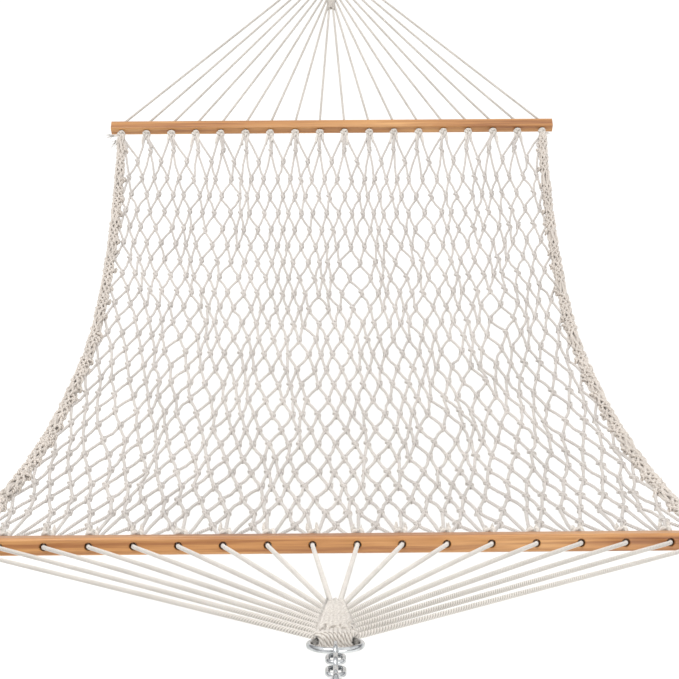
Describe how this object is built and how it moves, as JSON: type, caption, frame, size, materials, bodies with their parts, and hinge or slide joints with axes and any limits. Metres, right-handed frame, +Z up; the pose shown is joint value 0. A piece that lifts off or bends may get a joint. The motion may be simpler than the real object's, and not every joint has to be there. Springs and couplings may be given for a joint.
{
  "type": "rope hammock with spreader bars",
  "caption": "Open knotted rope hammock bed between two wooden spreader bars, each hung by a fan of cords, a woven clew, a steel ring, a chain and an S-hook.",
  "frame": {"origin": "centre of the foot hook's outer bowl, where the support it hangs on sits", "axes": "+Y runs level from the foot hook to the head hook, +Z is up, +X is to the right when looking from the foot towards the head"},
  "size_m": [1.25, 3.7175, 0.6492],
  "materials": {
    "bar_wood": "oiled hardwood with straight grain",
    "cord_rope": "twisted soft-laid rope, undyed",
    "net_rope": "twisted soft-laid rope, undyed",
    "edge_rope": "twisted soft-laid rope, undyed",
    "ring_steel": "bright zinc plating, slightly dulled",
    "chain_steel": "bright zinc plating, slightly dulled",
    "hook_steel": "bright zinc plating, slightly dulled"
  },
  "bodies": {
    "hooks": {"foot_hook": "hook_steel", "head_hook": "hook_steel"},
    "chains": {"foot_chain_link_1": "chain_steel", "foot_chain_link_2": "chain_steel", "foot_chain_link_3": "chain_steel", "foot_chain_link_4": "chain_steel", "foot_chain_link_5": "chain_steel", "foot_chain_link_6": "chain_steel", "head_chain_link_1": "chain_steel", "head_chain_link_2": "chain_steel", "head_chain_link_3": "chain_steel", "head_chain_link_4": "chain_steel", "head_chain_link_5": "chain_steel", "head_chain_link_6": "chain_steel"},
    "bed": {"foot_ring": "ring_steel", "head_ring": "ring_steel", "foot_clew": "cord_rope", "head_clew": "cord_rope", "rope_net": "net_rope", "left_edge_rope": "edge_rope", "right_edge_rope": "edge_rope", "foot_cord_1": "cord_rope", "foot_cord_2": "cord_rope", "foot_cord_3": "cord_rope", "foot_cord_4": "cord_rope", "foot_cord_5": "cord_rope", "foot_cord_6": "cord_rope", "foot_cord_7": "cord_rope", "foot_cord_8": "cord_rope", "foot_cord_9": "cord_rope", "foot_cord_10": "cord_rope", "foot_cord_11": "cord_rope", "foot_cord_12": "cord_rope", "foot_cord_13": "cord_rope", "foot_cord_14": "cord_rope", "foot_cord_15": "cord_rope", "foot_cord_16": "cord_rope", "foot_cord_17": "cord_rope", "foot_cord_18": "cord_rope", "head_cord_1": "cord_rope", "head_cord_2": "cord_rope", "head_cord_3": "cord_rope", "head_cord_4": "cord_rope", "head_cord_5": "cord_rope", "head_cord_6": "cord_rope", "head_cord_7": "cord_rope", "head_cord_8": "cord_rope", "head_cord_9": "cord_rope", "head_cord_10": "cord_rope", "head_cord_11": "cord_rope", "head_cord_12": "cord_rope", "head_cord_13": "cord_rope", "head_cord_14": "cord_rope", "head_cord_15": "cord_rope", "head_cord_16": "cord_rope", "head_cord_17": "cord_rope", "head_cord_18": "cord_rope"},
    "foot_bar": {"foot_spreader_bar": "bar_wood"},
    "head_bar": {"head_spreader_bar": "bar_wood"}
  },
  "joints": [
    {"name": "swing", "type": "hinge", "parent": "hooks", "child": "chains", "pos_m": [0, 0.03592, -0.0187], "axis": [0, 1, 0], "range_deg": [-35, 35]},
    {"name": "bed_tip", "type": "hinge", "parent": "chains", "child": "bed", "pos_m": [0, 0.17115, -0.08909], "axis": [0, 1, 0], "range_deg": [-22, 22]},
    {"name": "foot_bar_rock", "type": "hinge", "parent": "bed", "child": "foot_bar", "pos_m": [0, 0.84173, -0.43818], "axis": [1, 0, 0], "range_deg": [-6, 6]},
    {"name": "head_bar_rock", "type": "hinge", "parent": "bed", "child": "head_bar", "pos_m": [0, 2.84173, -0.43818], "axis": [1, 0, 0], "range_deg": [-6, 6]}
  ]
}
